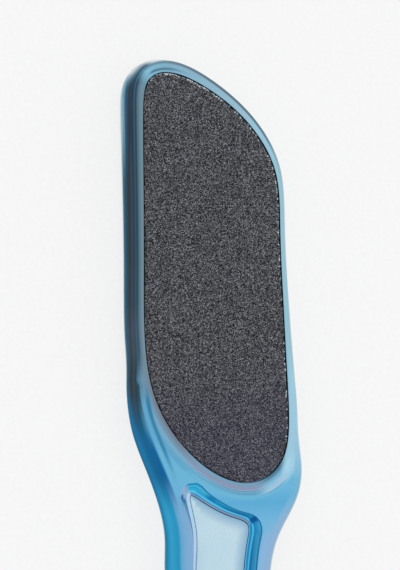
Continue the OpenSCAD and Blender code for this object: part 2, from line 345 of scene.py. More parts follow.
def joined(origin, n, last):
    """Numbers for filled points whose first loop is a ring of n points, numbered from last.
    Gives also the places of the others, which are numbered after that ring."""
    extra = [i for i, o in enumerate(origin) if not 0 <= o < n]
    number = last + np.array(origin)
    number[extra] = last + n + np.arange(len(extra))
    return number, extra


def staggered(low, high, step):
    """Points over a rectangle, with every second row shifted by half a step."""
    x, y = np.meshgrid(np.arange(low[0], high[0], step), np.arange(low[1], high[1], step))
    x = x + (np.arange(len(x)) % 2)[:, None] * step / 2
    return np.column_stack([x.ravel(), y.ravel()])


def in_scene(name, data):
    thing = bpy.data.objects.new(name, data)
    bpy.context.scene.collection.objects.link(thing)
    return thing


# Least turn between faces that shows as an edge
SHARP_TURN = math.radians(50)


def new_piece(name, points, faces, tones, smooth=True, rear=False):
    """A mesh piece on the root body, from points of the construction."""
    mesh = bpy.data.meshes.new(name)
    if rear:
        faces = [tuple(reversed(f)) for f in faces]
    mesh.from_pydata(placed(points, rear).tolist(), [], [tuple(map(int, f)) for f in faces])
    mesh.validate()
    if smooth:
        mesh.shade_smooth()
        mesh.set_sharp_from_angle(angle=SHARP_TURN)
    for key, values in tones.items():
        layer = mesh.attributes.new(key, "FLOAT", "POINT")
        layer.data.foreach_set("value", np.asarray(values, np.float32))
    piece = in_scene(name, mesh)
    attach(piece, "root")
    return piece


# The head's rim meets the neck in two forks, which are rounded over a reach, in passes that
# each pull a point by a share of the way to the middle of its neighbours
OUTLINE_STEP = 0.8
FORK_REACH = 5.0
FORK_PULL = 0.5
FORK_PASSES = 40
RIGHT_BLEND = (-9.0, 12.0)

# On the left the neck's side starts with a small step below the head, then swells
LEFT_STEP = (4.8, 6.2)
LEFT_STEP_SHARE = 0.4
LEFT_SWELL = (5.5, 24.0)


def kept_runs(line, keep):
    """The stretches of a closed line whose points are kept, two points or more each."""
    start = -int(np.argmin(keep))
    line, keep = np.roll(line, start, 0), np.roll(keep, start)
    cuts = np.nonzero(np.diff(keep.astype(int)))[0] + 1
    runs = zip(np.split(line, cuts), np.split(keep, cuts))
    return [run for run, kept in runs if kept[0] and len(run) > 1]


def exposed(loop, other):
    """The longest stretch of a loop that lies outside the other loop."""
    return max(kept_runs(loop, inside_by(loop, other) < 0), key=len)


def housing_outline():
    """Outline of the head and handle as one loop, with 0 on the head and 1 on the handle.
    The head's rim runs into the neck gently on the right and with a small step on the left."""
    head, grip = exposed(head_loop, grip_loop), exposed(grip_loop, head_loop)
    loop = respaced(np.vstack([head, grip]), OUTLINE_STEP)
    places = arc_places(loop)
    length = places[-1]
    run = np.linalg.norm(np.diff(head, axis=0), axis=1).sum()
    from_left = (places[:-1] + length / 2) % length - length / 2
    from_right = places[:-1] - run
    for _ in range(FORK_PASSES):
        nearest = np.minimum(abs(from_left), abs(from_right))
        pull = FORK_PULL * np.exp(-((nearest / FORK_REACH) ** 2))
        between = (np.roll(loop, 1, 0) + np.roll(loop, -1, 0)) / 2
        loop = loop + pull[:, None] * (between - loop)
    right = eased_over(from_right, RIGHT_BLEND)
    step = LEFT_STEP_SHARE * eased_over(-from_left, LEFT_STEP)
    left = step + (1 - LEFT_STEP_SHARE) * eased_over(-from_left, LEFT_SWELL)
    neck = np.where(loop[:, 0] > 0, right, left)

    # Curves between the CAD's outline points bulge a little, and are held to its box
    low, high = coarse_outline.min(0), coarse_outline.max(0)
    loop = low + (loop - loop.min(0)) * (high - low) / (loop.max(0) - loop.min(0))
    return loop, neck


outline, neck_share = housing_outline()
edge_w = NECK_EDGE_W + (GRIP_EDGE_W - NECK_EDGE_W) * grip_rise(outline[:, 1])

# Spans over which the dish ends at the right and at the head, the neck's step ends at the
# right, and the head's flat face ends at its edge
DISH_RIGHT = (2.0, 19.0)
DISH_RUN_IN = (0.5, 7.0)
STEP_RIGHT = (16.0, 22.0)
PLATEAU_EDGE = (0.6, 2.0)


def on_head(plan):
    """One on the head's face, nought on the neck and handle."""
    return eased_over(inside_by(plan, head_loop), PLATEAU_EDGE)


def face_height(plan):
    """Height of the face before the seats and the recess are sunk into it."""
    x, y = plan[:, 0], plan[:, 1]
    in_edge = inside_by(plan, outline) - NECK_EDGE_W
    bead = ease(in_edge / (BEAD_SLOPE_SHARE * NECK_EDGE_W))
    end = PAD_END - DISH_END_SHARE * PAD_L / 2
    along = 1 - ease((PAD_END - y) / (PAD_END - end))
    neck = WAIST_FACE - NECK_STEP * (1 - eased_over(x, STEP_RIGHT))
    dish = NECK_DISH * along * (1 - eased_over(x, DISH_RIGHT)) * bead
    dish = dish * eased_over(-inside_by(plan, head_loop), DISH_RUN_IN)
    neck = neck + (GRIP_FACE - neck) * grip_rise(y) - dish
    return neck + (head_face(y) - neck) * on_head(plan)


WALL_STEPS = 9
EDGE_STEPS = 7


def wall_rings():
    """Rings up the outer wall, from the seam to the face: a crowned wall with a tight edge
    round the head, and a wide round side on the neck and handle."""
    crest = grow(outline, -(SIDE_CROWN + RIM_EDGE_R) * (1 - neck_share) - edge_w * neck_share)
    face = face_height(crest)
    lean = np.arctan(2 * SIDE_CROWN / (face - RIM_EDGE_R))
    rings, rises = [], []
    count = WALL_STEPS + EDGE_STEPS
    for k in range(count):
        if k < WALL_STEPS:
            s = k / (WALL_STEPS - 1)
            top = face - RIM_EDGE_R * (1 - np.sin(lean))
            head_in = SIDE_CROWN * s * s * np.ones_like(face)
            head_z = SEAM_BEVEL + (top - SEAM_BEVEL) * s
        else:
            turn = lean + (math.pi / 2 - lean) * (k - WALL_STEPS + 1) / EDGE_STEPS
            head_in = SIDE_CROWN + RIM_EDGE_R * (np.cos(lean) - np.cos(turn))
            head_z = face - RIM_EDGE_R * (1 - np.sin(turn))
        turn = math.pi / 2 * k / (count - 1)
        neck_in = edge_w * (1 - math.cos(turn))
        neck_z = SEAM_BEVEL + (face - SEAM_BEVEL) * math.sin(turn)
        inset = head_in + (neck_in - head_in) * neck_share
        z = head_z + (neck_z - head_z) * neck_share
        rings.append(np.column_stack([grow(outline, -inset), z]))
        rises.append(z / face)
    return rings, rises


def over_edge(radius, steps):
    """Distances outwards at which a rounded edge is cut into steps."""
    return radius * (1 - np.cos(np.linspace(0, math.pi / 2, steps + 1)))


def sunk(height, out_by, floor, radius):
    """Height after a seat or hole with upright walls and a rounded edge is sunk into the face.
    out_by is the distance outside its loop."""
    t = np.clip(out_by / radius, 0, 1)
    edge = height - radius + radius * np.sqrt(1 - (1 - t) ** 2)
    wall = np.clip(1 + out_by / WALL_DRAFT, 0, 1)
    below = floor + (height - radius - floor) * wall
    return np.where(out_by >= 0, edge, below)


# Shares of the leaning wall that its rounded foot and crest take up
LEAN_FOOT = 0.2
LEAN_CREST = 0.16


def leaning(t):
    """Rise of the recess wall from its foot, 0, to its crest, 1, rounded at both ends."""
    middle = 1 - (LEAN_FOOT + LEAN_CREST) / 2
    foot = t**2 / (2 * LEAN_FOOT)
    slope = LEAN_FOOT / 2 + (t - LEAN_FOOT)
    crest = middle - (1 - t) ** 2 / (2 * LEAN_CREST)
    return np.where(t < LEAN_FOOT, foot, np.where(t > 1 - LEAN_CREST, crest, slope)) / middle


def housing_height(plan):
    """Height of the finished face over the plan, and the place on the recess wall from its
    foot, 0, to its crest, 1."""
    height = face_height(plan)
    ledge_out = -inside_by(plan, ledge_loop)
    mouth_in = inside_by(plan, mouth_loop)
    between = ledge_out / (ledge_out + mouth_in + 1e-9)
    climb = np.where(mouth_in <= 0, 1, np.where(ledge_out <= 0, 0, between))
    height = LEDGE_Z + (height - LEDGE_Z) * np.where(mouth_in <= 0, 1, leaning(climb))
    height = sunk(height, -inside_by(plan, inlay_loop), POCKET_Z, FIT_GAP)
    seat_floor = head_face(plan[:, 1]) - SEAT_D
    height = sunk(height, -inside_by(plan, seat_loop), seat_floor, SEAT_EDGE_R)
    from_hole = np.linalg.norm(plan - hole_at, axis=1) - HOLE_R
    return sunk(height, from_hole, 0, HOLE_ROUND), climb


HOLE_SIDES = 64


def hole_circle(radius):
    turns = -np.arange(HOLE_SIDES) * 2 * math.pi / HOLE_SIDES
    return hole_at + radius * np.column_stack([np.cos(turns), np.sin(turns)])


def past_hole(plan, faces):
    """The faces that don't lie across the hole."""
    return faces[np.linalg.norm(plan[faces].mean(1) - hole_at, axis=1) > HOLE_R - WALL_DRAFT]


# Lines on the face, in from the head's edge and up the neck's beads, how far inside the head
# the beads' lines start, and the least distance of all from other edges
HEAD_LINES = (0.7, *np.linspace(*PLATEAU_EDGE, 6), 2.1)
BEAD_LINES = (0.12, 0.3, 0.5, 0.8, 1.1)
BEADS_FROM = 0.5
LINE_GAP = 0.35
NECK_GRID = 1.0
GRID_GAP = NECK_GRID * 0.45
FACE_STEP = 1.0

# Places along, in mm, where the neck's grid and the lines up its beads end
GRID_LOW = PAD_END - RISE_END_SHARE * PAD_L / 2
GRID_HIGH = PAD_END + 0.6 * PAD_L / 2
BEADS_LOW = PAD_END - 0.4 * PAD_L / 2

# Steps in which slopes and rounded edges are cut
RECESS_STEPS = 10
POCKET_EDGE_STEPS = 3
SEAT_EDGE_STEPS = 5
HOLE_EDGE_STEPS = 6
INLAY_EDGE_STEPS = 5


def neck_points(domain):
    """Evenly spread points over the curved part of the neck."""
    plan = staggered((-PAD_W, GRID_LOW), (PAD_W, GRID_HIGH), NECK_GRID)
    clear = inside_by(plan, domain) > GRID_GAP
    clear &= inside_by(plan, head_loop) < PLATEAU_EDGE[0] - GRID_GAP
    clear &= inside_by(plan, mouth_loop) < -GRID_GAP
    return plan[clear]


def neck_lines(crest):
    """Lines along the step between head and neck, and along the neck's beads."""
    lines = []
    for by in HEAD_LINES:
        line = grow(respaced(head_loop, FACE_STEP), -by)
        lines += kept_runs(line, (inside_by(line, crest) > LINE_GAP) & (line[:, 1] < 0))
    for share in BEAD_LINES:
        line = grow(outline, -NECK_EDGE_W - share * BEAD_SLOPE_SHARE * NECK_EDGE_W)
        keep = (inside_by(line, head_loop) < BEADS_FROM) & (line[:, 1] > BEADS_LOW)
        keep &= (inside_by(line, crest) > LINE_GAP) & (inside_by(line, mouth_loop) < -LINE_GAP)
        lines += kept_runs(line, keep)
    return lines


def housing_tones(rises, crest, face, climb):
    """What the finish goes by, at the points of the wall, the face and the sole: shares of the
    wall's rise, the handle and the recess's climb, mm in from the face's edge, out from the
    seat and in from the ledge's edge, and the outward directions nearby."""
    wall, flat, sole = np.zeros(len(crest) * len(rises)), np.zeros(len(face)), np.zeros(len(crest))
    by_pad = np.tile(-inside_by(crest, seat_loop), len(rises))
    out = outward(outline)
    out = np.vstack([np.tile(out, (len(rises), 1)), outward_near(face, outline), out])
    recess = np.zeros_like(out)
    recess[len(wall) : len(wall) + len(face)] = outward_near(face, mouth_loop)
    parts = {
        "rise": (*rises, flat + 1, sole),
        "handle": (np.tile(neck_share, len(rises)), 1 - on_head(face), neck_share),
        "inward": (wall, np.maximum(inside_by(face, crest), 0), sole),
        "climb": (wall + 1, climb, sole + 1),
        "by_pad": (by_pad, np.maximum(-inside_by(face, seat_loop), -1), sole + RIM_W * 2),
        "on_ledge": (wall, inside_by(face, ledge_loop), sole),
    }
    tones = {name: np.concatenate(values) for name, values in parts.items()}
    tones.update(out_x=out[:, 0], out_y=out[:, 1], recess_x=recess[:, 0], recess_y=recess[:, 1])
    return tones


def housing_shape():
    """Points, faces and tones of one half of the housing: its outer wall, its face with the
    seats, and the plane where the halves meet."""
    rings, rises = wall_rings()
    crest = rings[-1][:, :2]
    n = len(crest)
    both = respaced(np.hstack([ledge_loop, mouth_loop]), FACE_STEP)
    ledge, mouth = both[:, :2], both[:, 2:]
    walls = [ledge + (mouth - ledge) * t for t in np.linspace(0, 1, RECESS_STEPS + 1)]
    walls += [grow(mouth, SUPPORT), grow(ledge, -SUPPORT)]
    foot = (-2 * WALL_DRAFT, -WALL_DRAFT)
    pocket = respaced(inlay_loop, FACE_STEP)
    pocket = [grow(pocket, by) for by in (*foot, *over_edge(FIT_GAP, POCKET_EDGE_STEPS))]
    seat = respaced(seat_loop, FACE_STEP)
    edge = (*over_edge(SEAT_EDGE_R, SEAT_EDGE_STEPS), SEAT_EDGE_R + SUPPORT)
    seat = [grow(seat, by) for by in (*foot, *edge)]
    edge = (*over_edge(HOLE_ROUND, HOLE_EDGE_STEPS), HOLE_ROUND + SUPPORT)
    hole = [hole_circle(HOLE_R + by) for by in (-WALL_DRAFT, *edge)]
    loops = [crest, *walls, *pocket, *seat, *hole]
    plan, faces, origin = filled(loops, neck_lines(crest), neck_points(crest))
    height, climb = housing_height(plan)
    faces = past_hole(plan, faces)

    # The wall's rings come first, and the face shares its edge with the last ring
    base = n * len(rings)
    number, extra = joined(origin, n, base - n)
    points = [*rings, np.column_stack([plan[extra], height[extra]])]
    tris = [tuple(number[f]) for f in faces]
    quads = ring_quads(n, len(rings))

    # A narrow bevel at the seam, then the plane where the halves meet
    under = base + len(extra)
    sole = grow(outline, -SEAM_BEVEL)
    points.append(np.column_stack([sole, np.zeros(n)]))
    quads += [(under + i, under + (i + 1) % n, (i + 1) % n, i) for i in range(n)]
    at = sum(len(loop) for loop in loops) - HOLE_SIDES * len(hole)
    hole_ring = {o - at: number[i] for i, o in enumerate(origin) if at <= o < at + HOLE_SIDES}
    sole_plan, sole_faces, sole_origin = filled([sole, hole_circle(HOLE_R - WALL_DRAFT)])
    renamed = [under + o if o < n else hole_ring[o - n] for o in sole_origin]
    tris += [tuple(renamed[i] for i in reversed(f)) for f in past_hole(sole_plan, sole_faces)]
    tones = housing_tones(rises, crest, plan[extra], climb[extra])
    return np.vstack(points), quads + tris, tones


def srgb(code):
    """Linear colour of an sRGB hex value."""
    values = [int(code[i : i + 2], 16) / 255 for i in (1, 3, 5)]
    return [v / 12.92 if v <= 0.04045 else ((v + 0.055) / 1.055) ** 2.4 for v in values] + [1.0]


def put(tree, kind, inputs=None, **settings):
    """Adds a shader node. Settings name its properties or sockets. Inputs says what its sockets
    take: another node's output, a number or an sRGB colour."""
    node = tree.nodes.new("ShaderNode" + kind)
    for key, value in settings.items():
        if hasattr(node, key):
            setattr(node, key, value)
        else:
            node.inputs[key.replace("_", " ")].default_value = value
    for key, source in (inputs or {}).items():
        if isinstance(source, str):
            node.inputs[key].default_value = srgb(source)
        elif isinstance(source, float):
            node.inputs[key].default_value = source
        else:
            tree.links.new(source, node.inputs[key])
    return node


def new_material(name, *tones):
    """An empty material, its node tree, and what its colours go by: the place on the piece, in
    metres, and tones that the mesh carries at its points."""
    material = bpy.data.materials.new(name)
    material.use_nodes = True
    tree = material.node_tree
    tree.nodes.clear()
    at = SimpleNamespace(place=put(tree, "TexCoord").outputs["Object"])
    for tone in tones:
        setattr(at, tone, put(tree, "Attribute", attribute_name=tone).outputs["Fac"])
    return material, tree, at


def surfaced(material, inputs, **settings):
    """The material, with one glossy or matt surface of these inputs and settings."""
    tree = material.node_tree
    shader = put(tree, "BsdfPrincipled", inputs, **settings)
    put(tree, "OutputMaterial", {"Surface": shader.outputs["BSDF"]})
    return material


def ramp(value, stops):
    """Colours along a value, from the sRGB colour at each place on it."""
    node = put(value.id_data, "ValToRGB", {"Fac": value})
    elements = node.color_ramp.elements
    while len(elements) < len(stops):
        elements.new(0.5)
    for element, (place, code) in zip(elements, stops.items()):
        element.position = place
        element.color = srgb(code)
    return node.outputs["Color"]


def ranged(value, start, end, low=0.0, high=1.0):
    """Runs smoothly from low to high as the value goes from start to end, either way round."""
    if start > end:
        start, end, low, high = end, start, high, low
    node = put(
        value.id_data, "MapRange", {"Value": value}, interpolation_type="SMOOTHSTEP",
        From_Min=start, From_Max=end, To_Min=low, To_Max=high,
    )
    return node.outputs["Result"]


def product(first, *others):
    """Product of sockets and numbers, of which the first is a socket."""
    tree = first.id_data
    for other in others:
        first = put(tree, "Math", {0: first, 1: other}, operation="MULTIPLY").outputs[0]
    return first


def within(*spans):
    """One where several values have all run from their start to their end, and else nought."""
    return product(*(ranged(*span) for span in spans))


def layered(colour, *layers):
    """Colours laid over the first, each by a share or as a value runs from a start to an end."""
    for *by, over in layers:
        share = by[0] if len(by) == 1 else ranged(*by)
        inputs = {0: share, 6: colour, 7: over}
        colour = put(share.id_data, "Mix", inputs, data_type="RGBA").outputs[2]
    return colour


# Spans of a direction's share across the part, over which it turns to the right or the left
TO_RIGHT = (0.2, 0.7)
TO_LEFT = (-0.3, -0.7)


def head_walls(at):
    """Walls of the head, in painted reflections and shade: painted slate shade on the left, paler
    painted reflections round the tip with a pale painted halo and a darker painted line, and a pale
    painted reflection on the right.
    """
    # Bands of painted reflection and painted shade across the rounded wall, from the seam to the
    # face
    head_wall = ramp(at.side, {
        0.0: "#E0EDF2", 0.2: "#CBDDE7", 0.35: "#91ADB9", 0.42: "#4C6E7A", 0.5: "#42667A",
        0.55: "#385563", 0.63: "#3E5363", 0.72: "#36404C", 0.8: "#31363F", 0.85: "#3D464D",
        0.89: "#3B4952", 0.93: "#2A4350", 0.965: "#28424F", 0.99: "#395566", 1.0: "#435D6E",
    })
    tip_wall = ramp(at.side, {
        0.0: "#E4E8E6", 0.5: "#DDE4E3", 0.67: "#C0D2DA", 0.77: "#93B1BF", 0.86: "#5A8096",
        0.93: "#41677D", 0.97: "#17384D", 0.985: "#3C677F", 1.0: "#6F9CB2",
    })
    halo = ramp(at.heading, {
        0.4: "#CDDADE", 0.5: "#D6E7EC", 0.6: "#D3E2E7", 0.7: "#C6DBE3", 0.78: "#D2E3EB",
    })
    halo_line = ramp(at.heading, {
        0.44: "#A9C6D4", 0.52: "#6A808E", 0.6: "#5F7683", 0.66: "#5C7C87", 0.7: "#8FB1BB",
        0.77: "#BCD6DF",
    })
    halo = layered(halo, (at.rise, 0.93, 0.97, halo_line))
    upper_wall = ramp(at.side, {
        0.0: "#E4EEF2", 0.25: "#B4CBD5", 0.5: "#A6C3D1", 0.59: "#8FB4C4", 0.65: "#446A7C",
        0.71: "#3C5A72", 0.78: "#334559", 0.85: "#2C3240", 0.9: "#354252", 0.94: "#193646",
        0.98: "#2B4B5A", 1.0: "#4F6A7B",
    })
    return layered(
        head_wall, (at.y, 0.092, 0.112, upper_wall), (at.heading, 0.275, 0.365, tip_wall),
        (at.heading, 0.4, 0.46, halo),
    )


def neck_and_handle_sides(at):
    """Sides of the neck and handle, in painted reflections and shade: painted shade below the head,
    deep blue, then clear blue, pale painted reflections on the rear's wall and a pale painted
    highlight on the right.
    """
    fork_side = ramp(at.side, {
        0.0: "#E4F4FF", 0.2: "#A5C9E4", 0.38: "#3D79A6", 0.5: "#2F7BAF", 0.58: "#2678AA",
        0.67: "#217097", 0.75: "#1F6592", 0.82: "#1C6085", 0.9: "#165C80", 0.94: "#0A6287",
        0.965: "#2E84A7", 0.99: "#56A0C9", 1.0: "#58A3CE",
    })
    neck_side = ramp(at.side, {
        0.0: "#E4F6FF", 0.2: "#A0CADC", 0.38: "#2B7397", 0.52: "#1B6EA0", 0.6: "#1D79AD",
        0.68: "#1C7AAD", 0.75: "#1A75A4", 0.82: "#196D9C", 0.88: "#116494", 0.955: "#0C6298",
        0.982: "#055E96", 0.992: "#2F7FB0", 1.0: "#65AAD3",
    })
    grip_side = ramp(at.side, {
        0.0: "#E8FBFF", 0.2: "#B0DDEE", 0.38: "#4C9ABA", 0.52: "#2C8BB0", 0.6: "#2893C2",
        0.68: "#2E9BCB", 0.75: "#36A2CE", 0.82: "#33A0CB", 0.87: "#299DCB", 0.91: "#2496C6",
        0.935: "#3C9CC8", 0.96: "#68A9D1", 1.0: "#7AACD2",
    })
    up_neck = ranged(at.y, -0.01, 0.03)
    edge_right = ramp(up_neck, {
        0.0: "#8394AC", 0.25: "#8496AE", 0.45: "#7BA4C0", 0.6: "#7DB2C9", 1.0: "#83AEBF",
    })
    shoulder_right = ramp(up_neck, {
        0.0: "#8DB2D6", 0.25: "#88B4D8", 0.45: "#6BB3D5", 0.6: "#70B5D3", 0.8: "#8FC2DD",
        1.0: "#9CC9DC",
    })
    side_right = layered(edge_right, (at.rise, 0.5, 0.75, shoulder_right))
    return layered(
        neck_side, (at.y, 0.016, 0.004, grip_side), (at.y, 0.021, 0.032, fork_side),
        (at.out_x, *TO_RIGHT, side_right),
    )


def rim_round_pad(at):
    """Rim round the pad: painted shade on the left, a fine painted line along its edge round the tip
    that is dark on the left, and a painted shade line beside the pad.
    """
    rim_edge = ramp(at.heading, {
        0.2: "#3B5264", 0.25: "#48616F", 0.31: "#44647A", 0.38: "#7FB9D1", 0.5: "#80B0C5",
        0.575: "#8BAEC1", 0.625: "#9DBDCF", 0.66: "#A0C6D6", 0.69: "#9AC6D3", 0.75: "#98C0CD",
        0.85: "#A4CDDA",
    })
    rim_lip = ramp(at.heading, {
        0.2: "#7B97AC", 0.25: "#6E8895", 0.31: "#6B8FA0", 0.38: "#83BDD5", 0.5: "#7CAAC2",
        0.575: "#8AB4C8", 0.625: "#97BCD0", 0.66: "#97C4D8", 0.69: "#95C4D7", 0.75: "#8DBDD0",
        0.85: "#98C5D6",
    })
    rim_line = ramp(at.heading, {
        0.3: "#24455A", 0.37: "#5E8CA2", 0.5: "#6E8D9C", 0.6: "#5F7583", 0.66: "#5E7F8B",
        0.69: "#86AAB6", 0.74: "#96BDCA",
    })
    rim = layered(rim_edge, (at.inward, 0.1, 1.6, rim_lip), (at.inward, 0.5, 0.1, rim_line))
    # A painted shade line beside the pad, round the tip, stands for a groove
    groove_shade_line = within(
        (at.by_pad, 1.4, 1.1), (at.by_pad, 0.45, 0.7), (at.heading, 0.35, 0.43),
        (at.heading, 0.58, 0.5),
    )
    return layered(rim, (groove_shade_line, "#547E94"))


def neck_and_handle_face(at):
    """Face of the neck and of the handle's rims: clear blue, and painted lavender highlights on both
    rims.
    """
    grip_face = ramp(ranged(at.y, -0.01, 0.04), {
        0.0: "#72B2D8", 0.15: "#70B2D8", 0.27: "#5BA9D2", 0.37: "#6BB2D8", 0.5: "#6AB3D3",
        0.65: "#69B1D3", 0.85: "#5DA5C8", 1.0: "#5CA5C9",
    })
    # Painted lavender highlights on the left and right rims
    left_rim = layered("#78AAD0", (at.inward, 0.0, 1.2, "#86A7CE"))
    on_left = within((at.y, 0.012, 0.004), (at.x, -0.002, -0.006))
    on_right = within((at.y, 0.004, -0.004), (at.inward, 2.2, 0.3), (at.out_x, *TO_RIGHT))
    return layered(grip_face, (on_left, left_rim), (on_right, "#88B2D8"))


def land_below_pad(at):
    """Land below the pad: a mauve painted reflection between fine painted shade lines, and a pale
    painted highlight on the right.
    """
    out_of_pad = ranged(at.by_pad, 0.0, 5.0)
    land_fork = ramp(out_of_pad, {
        0.0: "#72798B", 0.16: "#7490A6", 0.26: "#719BB3", 0.38: "#80ACC8", 0.52: "#73A9C5",
        0.68: "#63A2C3", 1.0: "#5CA5C9",
    })
    land_middle = ramp(out_of_pad, {
        0.0: "#769CB6", 0.08: "#7699B3", 0.15: "#8095AF", 0.2: "#8A96B0", 0.27: "#8590AC",
        0.31: "#8792B0", 0.36: "#90B0CC", 0.41: "#729BB9", 0.46: "#6699B6", 0.52: "#78B1D0",
        0.57: "#74AAC9", 0.63: "#62A0C0", 0.72: "#66A8C8", 0.85: "#6AB3D3", 1.0: "#69B1D3",
    })
    land_lower = ramp(out_of_pad, {
        0.0: "#4A778F", 0.08: "#5E8AA3", 0.14: "#7FADC6", 0.2: "#6FA5C2", 0.26: "#7CB6D8",
        0.4: "#8ABEDD", 0.52: "#9AC3DB", 0.66: "#A8C9DD", 0.76: "#A4C9E2", 0.84: "#7FB2D2",
        0.89: "#67A7C9", 0.95: "#6FB8D8", 1.0: "#69B1D3",
    })
    land_right = ramp(out_of_pad, {
        0.0: "#8FBDD2", 0.12: "#A9D6E7", 0.3: "#AEDDEE", 0.5: "#A6D1E4", 0.7: "#A2CCE0",
        0.85: "#96C6DE", 1.0: "#7FBAD6",
    })
    return layered(
        land_fork, (at.x, -0.013, -0.006, land_middle), (at.x, 0.009, 0.014, land_lower),
        (at.x, 0.0165, 0.0195, land_right),
    )


def recess_walls(at):
    """Walls of the handle recess, from their foot to their crest, and the ledge below them, in bands
    of painted highlight and painted shade: pale painted reflections where they face left, and
    painted shade in a corner on the right.
    """
    upper = ramp(at.climb, {
        0.0: "#6BD0F5", 0.08: "#5FC4EC", 0.18: "#3CB4DE", 0.34: "#2FB2E0", 0.5: "#10A0CC",
        0.64: "#48BCE6", 0.78: "#26A2CF", 0.9: "#0B80AC", 0.97: "#3089B6", 1.0: "#58A3CE",
    })
    flank = ramp(at.climb, {
        0.0: "#5CB8E0", 0.08: "#4DBBE6", 0.2: "#38AAD6", 0.34: "#2B9AC6", 0.48: "#4CB2DC",
        0.6: "#3CA8D2", 0.72: "#54BAE2", 0.8: "#45A8D2", 0.87: "#0E6E9C", 0.94: "#0E6A98",
        1.0: "#53A1CF",
    })
    near_side = ramp(at.climb, {
        0.0: "#AACEE6", 0.5: "#BAD8EE", 0.85: "#CFE4F5", 0.95: "#C4DCF2", 1.0: "#A4C0E0",
    })
    near_side = layered(near_side, (at.y, 0.006, 0.0095, "#8FADD2"))
    # Painted shade in the recess's upper right corner
    corner_shade = product(at.recess_x, at.recess_y, ranged(at.x, 0.003, 0.006))
    walls = layered(
        upper, (at.recess_x, 0.5, 0.85, flank), (at.recess_x, *TO_LEFT, near_side),
        (corner_shade, 0.38, 0.48, "#1468A6"),
    )
    ledge_top = ramp(at.on_ledge, {
        0.0: "#5BC5ED", 0.12: "#4FB1DE", 0.24: "#3D8CB5", 0.4: "#4E86AB", 0.6: "#8196B5",
    })
    ledge_right = ramp(at.on_ledge, {
        0.0: "#4BB1DD", 0.1: "#1388BC", 0.55: "#1282B6", 0.72: "#3C98C6", 0.88: "#9CD0F0",
    })
    ledge = layered(
        ledge_top, (at.recess_x, 0.6, 0.9, ledge_right), (at.recess_x, *TO_LEFT, "#ADCDE6"),
    )
    return layered(walls, (at.climb, 0.03, 0.0, ledge))


def plated_abs(tones):
    """Moulded ABS, vacuum-metallised and lacquered in clear blue: bright metal under gloss.
    Its colour holds painted reflections and shade: pale painted highlights over edges and faces, and
    deep painted shade on the walls."""
    material, tree, at = new_material("metallised_abs_blue_lacquer", *tones)
    split = put(tree, "SeparateXYZ", {"Vector": at.place})
    at.x, at.y = split.outputs["X"], split.outputs["Y"]

    # Place round the outline: a quarter at the left, a half at the tip, three quarters at the right
    turn = put(tree, "Math", {0: at.out_x, 1: at.out_y}, operation="ARCTAN2").outputs[0]
    heading = put(tree, "MapRange", {"Value": turn}, From_Min=-math.pi, From_Max=math.pi)
    at.heading = heading.outputs["Result"]

    # The walls of the head end along a slanting line
    along = put(tree, "Math", {0: at.side, 1: 0.012, 2: at.y}, operation="MULTIPLY_ADD")
    beside_head = ranged(along.outputs[0], 0.036, 0.049)
    wall = layered(neck_and_handle_sides(at), (beside_head, head_walls(at)))
    below_head = within((at.handle, 0.0, 0.4), (at.y, 0.037, 0.031))
    on_land = within((at.y, 0.05, 0.03), (at.by_pad, 4.8, 4.2))

    # A painted shade line runs down the left of the neck, and a painted highlight lies on its right
    # shoulder
    line = within(
        (at.inward, 0.5, 1.2), (at.inward, 2.2, 1.5), (at.y, 0.012, 0.024), (at.y, 0.041, 0.034),
        (at.out_x, *TO_LEFT),
    )
    shoulder = within(
        (at.y, 0.014, 0.022), (at.y, 0.045, 0.035), (at.inward, 3.6, 1.6), (at.out_x, *TO_RIGHT),
    )
    face = layered(
        rim_round_pad(at), (below_head, neck_and_handle_face(at)), (on_land, land_below_pad(at)),
        (line, "#347FA8"), (shoulder, "#9AC5D9"),
    )
    # The seat's walls carry painted shade on the left and a pale painted reflection toward the tip
    # and right, and its floor painted shade
    seat_wall = ramp(at.heading, {0.3: "#22394A", 0.42: "#9CC4D6"})
    seat = layered(seat_wall, (at.by_pad, -0.03, -0.09, "#1A2C3C"))

    # A faint lavender cast comes and goes over about 20 mm
    cast = put(tree, "TexNoise", {"Vector": at.place}, Scale=50.0).outputs["Fac"]
    colour = layered(
        wall, (at.rise, 0.985, 0.999, face), (at.climb, 1.0, 0.985, recess_walls(at)),
        (at.by_pad, 0.03, -0.01, seat), (cast, 0.45, 0.8, 0.0, 0.06, "#A3B2DA"),
    )

    # The moulding is gently wavy over 5 mm, as plated mouldings are, and its haze over 1.4 mm
    wave = put(tree, "TexNoise", {"Vector": at.place}, Scale=200.0, Detail=1.0).outputs["Fac"]
    bump = put(tree, "Bump", {"Height": wave}, Strength=0.1, Distance=0.0001)
    haze = put(tree, "TexNoise", {"Vector": at.place}, Scale=700.0).outputs["Fac"]

    # Edges reflect white instead of blue, a painted pale reflection: past the head's left, on the
    # right and on the rear
    pale_reflection_edges = product(beside_head, ranged(at.heading, 0.3, 0.36))
    for edge in (ranged(at.out_x, *TO_RIGHT), ranged(at.side, 0.44, 0.36)):
        pale_reflection_edges = put(tree, "Math", {0: pale_reflection_edges, 1: edge}, operation="MAXIMUM").outputs[0]
    inputs = {
        "Base Color": colour, "Normal": bump.outputs["Normal"],
        "Specular Tint": layered("#8FB9CC", (pale_reflection_edges, "#FFFFFF")),
        "Roughness": ranged(haze, 0.3, 0.7, 0.16, 0.24),
    }
    return surfaced(material, inputs, Metallic=1.0, Coat_Weight=0.15, Coat_Roughness=0.05)


